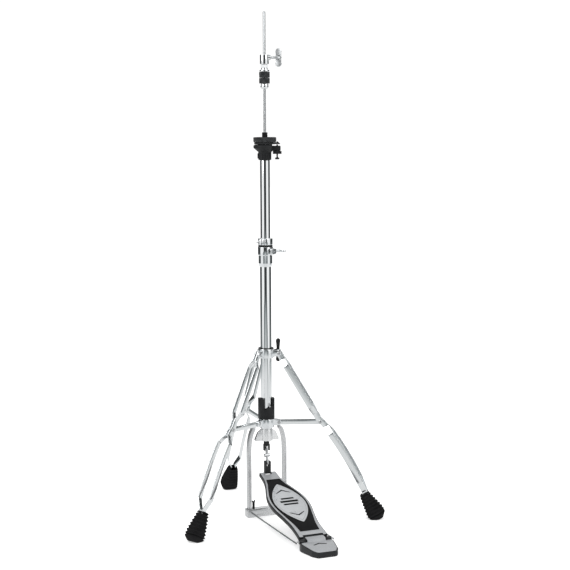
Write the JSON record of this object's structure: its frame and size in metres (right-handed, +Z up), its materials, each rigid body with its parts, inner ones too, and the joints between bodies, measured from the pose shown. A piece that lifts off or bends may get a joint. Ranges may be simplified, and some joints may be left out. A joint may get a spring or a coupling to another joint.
{
  "type": "hi-hat stand",
  "caption": "Pedal stand for a pair of hi-hat cymbals: a folding tripod with double braces, a telescopic shaft, a pull rod with clutch and a footboard.",
  "frame": {"origin": "on the floor at the shaft's axis, the underside of the frame's base plate", "axes": "+Z up along the shaft; -Y towards the footboard's heel; +X to the right of a player facing the shaft"},
  "size_m": [0.4878, 0.6152, 1.145],
  "materials": {
    "chrome": "polished chrome plate",
    "steel": "zinc-plated satin",
    "silver_cast": "satin cast",
    "black_plastic": "moulded satin",
    "black_metal": "black powder coat",
    "rubber": "matt moulded",
    "felt": "pressed wool felt",
    "silver_paint": "silver paint, fine texture"
  },
  "bodies": {
    "stand": {"lower_tube": "chrome", "clamp_bushing": "black_plastic", "tube_clamp": "chrome", "lower_bracket": "chrome", "frame_yoke": "silver_cast", "frame_post_left": "silver_cast", "frame_post_right": "silver_cast", "base_plate": "silver_cast", "radius_rod_left": "steel", "radius_rod_right": "steel", "heel_base": "black_metal", "heel_plate": "silver_paint", "hinge_pin": "steel"},
    "upper_tube": {"upper_tube": "chrome", "seat_base": "black_plastic"},
    "memory_lock": {"memory_lock": "chrome"},
    "memory_screw": {"memory_lock_screw": "steel"},
    "clamp_bolt": {"clamp_wing_bolt": "chrome"},
    "seat_cup": {"seat_cup": "black_plastic", "seat_felt": "felt", "seat_guide": "rubber"},
    "tilt_screw": {"tilt_screw": "black_metal"},
    "tilt_nut": {"tilt_lock_nut": "black_plastic"},
    "pull_rod": {"lower_rod": "steel", "upper_rod": "chrome", "rod_coupler": "steel", "spring_cap": "steel", "spring": "steel", "rod_nut": "black_metal"},
    "pull_link": {"chain_link": "steel"},
    "footboard": {"footboard": "black_metal", "footboard_grip": "rubber", "footboard_panel": "silver_paint", "toe_block": "black_metal"},
    "clutch": {"clutch_body": "chrome", "clutch_top_washer": "chrome", "clutch_lock_nut": "chrome", "clutch_upper_felt": "felt", "clutch_lower_felt": "felt"},
    "clutch_bolt": {"clutch_wing_bolt": "chrome"},
    "clutch_nut": {"clutch_lower_nut": "chrome"},
    "collar": {"leg_collar": "chrome", "collar_bushing": "black_plastic"},
    "collar_bolt": {"collar_wing_bolt": "black_plastic"},
    "tension_sleeve": {"tension_sleeve": "black_plastic"},
    "spring_seat": {"spring_seat": "steel"},
    "spur_left": {"spur_left": "black_metal"},
    "spur_right": {"spur_right": "black_metal"},
    "leg_right": {"brace_right_a": "chrome", "brace_right_b": "chrome", "foot_right": "rubber"},
    "strut_right": {"strut_right": "chrome"},
    "leg_back": {"brace_back_a": "chrome", "brace_back_b": "chrome", "foot_back": "rubber"},
    "strut_back": {"strut_back": "chrome"},
    "leg_left": {"brace_left_a": "chrome", "brace_left_b": "chrome", "foot_left": "rubber"},
    "strut_left": {"strut_left": "chrome"}
  },
  "joints": [
    {"name": "height_slide", "type": "slide", "parent": "stand", "child": "upper_tube", "axis": [0, 0, 1], "range_m": [0, 0.09]},
    {"name": "memory_lock_slide", "type": "slide", "parent": "upper_tube", "child": "memory_lock", "axis": [0, 0, 1], "range_m": [0, 0.1]},
    {"name": "memory_screw_turn", "type": "hinge", "parent": "memory_lock", "child": "memory_screw", "pos_m": [-0.01371, -0.01497, 0.63385], "axis": [-0.7373, 0.6756, 0], "range_deg": [0, 180]},
    {"name": "clamp_bolt_turn", "type": "hinge", "parent": "stand", "child": "clamp_bolt", "pos_m": [0.00122, -0.02385, 0.6125], "axis": [0.9239, 0.3827, 0], "range_deg": [0, 270]},
    {"name": "seat_tilt", "type": "hinge", "parent": "upper_tube", "child": "seat_cup", "pos_m": [-0.02032, 0.00842, 0.852], "axis": [-0.3827, -0.9239, 0], "range_deg": [0, 2.5]},
    {"name": "tilt_screw_turn", "type": "hinge", "parent": "upper_tube", "child": "tilt_screw", "pos_m": [0.0255, -0.01056, 0.83], "axis": [0, 0, 1], "range_deg": [0, 270]},
    {"name": "tilt_nut_turn", "type": "hinge", "parent": "upper_tube", "child": "tilt_nut", "pos_m": [0.0255, -0.01056, 0.8337], "axis": [0, 0, 1], "range_deg": [0, 270]},
    {"name": "pedal_hinge", "type": "hinge", "parent": "stand", "child": "footboard", "pos_m": [0, -0.276, 0.0185], "axis": [1, 0, 0], "range_deg": [-9, 0]},
    {"name": "pull_rod_slide", "type": "slide", "parent": "stand", "child": "pull_rod", "axis": [0, 0, 1], "range_m": [-0.0445, 0], "stiffness_N_per_m": 800, "springref_m": 0.02, "deforming": ["spring"]},
    {"name": "pull_link_swing", "type": "hinge", "parent": "pull_rod", "child": "pull_link", "pos_m": [0, 0, 0.159], "axis": [1, 0, 0], "range_deg": [0, 22.2]},
    {"name": "clutch_slide", "type": "slide", "parent": "pull_rod", "child": "clutch", "axis": [0, 0, 1], "range_m": [-0.045, 0.085]},
    {"name": "clutch_bolt_turn", "type": "hinge", "parent": "clutch", "child": "clutch_bolt", "pos_m": [0.0037, -0.00153, 1.0435], "axis": [0.9239, -0.3827, 0], "range_deg": [0, 270]},
    {"name": "clutch_nut_turn", "type": "hinge", "parent": "clutch", "child": "clutch_nut", "pos_m": [0, 0, 0.98], "axis": [0, 0, 1], "range_deg": [0, 270]},
    {"name": "collar_slide", "type": "slide", "parent": "stand", "child": "collar", "axis": [0, 0, 1], "range_m": [0, 0.11346]},
    {"name": "collar_bolt_turn", "type": "hinge", "parent": "collar", "child": "collar_bolt", "pos_m": [0.01161, 0.0067, 0.38], "axis": [0.866, 0.5, 0], "range_deg": [0, 270]},
    {"name": "tension_turn", "type": "hinge", "parent": "stand", "child": "tension_sleeve", "pos_m": [0, 0, 0.25], "axis": [0, 0, 1], "range_deg": [-30, 30]},
    {"name": "spring_seat_slide", "type": "slide", "parent": "stand", "child": "spring_seat", "axis": [0, 0, 1], "range_m": [-0.0036, 0.0036]},
    {"name": "spur_left_screw", "type": "slide", "parent": "stand", "child": "spur_left", "axis": [0, 0, 1], "range_m": [-0.004, 0.006]},
    {"name": "spur_right_screw", "type": "slide", "parent": "stand", "child": "spur_right", "axis": [0, 0, 1], "range_m": [-0.004, 0.006]},
    {"name": "leg_right_fold", "type": "hinge", "parent": "collar", "child": "leg_right", "pos_m": [0.02641, -0.01525, 0.3795], "axis": [0.5, 0.866, 0], "range_deg": [0, 24.01]},
    {"name": "strut_right_swing", "type": "hinge", "parent": "stand", "child": "strut_right", "pos_m": [0.02555, -0.01475, 0.2195], "axis": [-0.5, -0.866, 0], "range_deg": [0, 73.8]},
    {"name": "leg_back_fold", "type": "hinge", "parent": "collar", "child": "leg_back", "pos_m": [0, 0.0305, 0.3795], "axis": [-1, 0, 0], "range_deg": [0, 24.01]},
    {"name": "strut_back_swing", "type": "hinge", "parent": "stand", "child": "strut_back", "pos_m": [0, 0.0295, 0.2195], "axis": [1, 0, 0], "range_deg": [0, 73.8]},
    {"name": "leg_left_fold", "type": "hinge", "parent": "collar", "child": "leg_left", "pos_m": [-0.02641, -0.01525, 0.3795], "axis": [0.5, -0.866, 0], "range_deg": [0, 24.01]},
    {"name": "strut_left_swing", "type": "hinge", "parent": "stand", "child": "strut_left", "pos_m": [-0.02555, -0.01475, 0.2195], "axis": [-0.5, 0.866, 0], "range_deg": [0, 73.8]}
  ],
  "couplings": [
    {"joint": "pull_rod_slide", "follows": "pedal_hinge", "m_per_rad": 0.28001},
    {"joint": "pull_link_swing", "follows": "pedal_hinge", "ratio": -2.439},
    {"joint": "spring_seat_slide", "follows": "tension_turn", "m_per_rad": -0.0068209},
    {"joint": "leg_right_fold", "follows": "collar_slide", "rad_per_m": 3.6918},
    {"joint": "strut_right_swing", "follows": "collar_slide", "rad_per_m": 11.345},
    {"joint": "leg_back_fold", "follows": "collar_slide", "rad_per_m": 3.6918},
    {"joint": "strut_back_swing", "follows": "collar_slide", "rad_per_m": 11.345},
    {"joint": "leg_left_fold", "follows": "collar_slide", "rad_per_m": 3.6918},
    {"joint": "strut_left_swing", "follows": "collar_slide", "rad_per_m": 11.345}
  ]
}
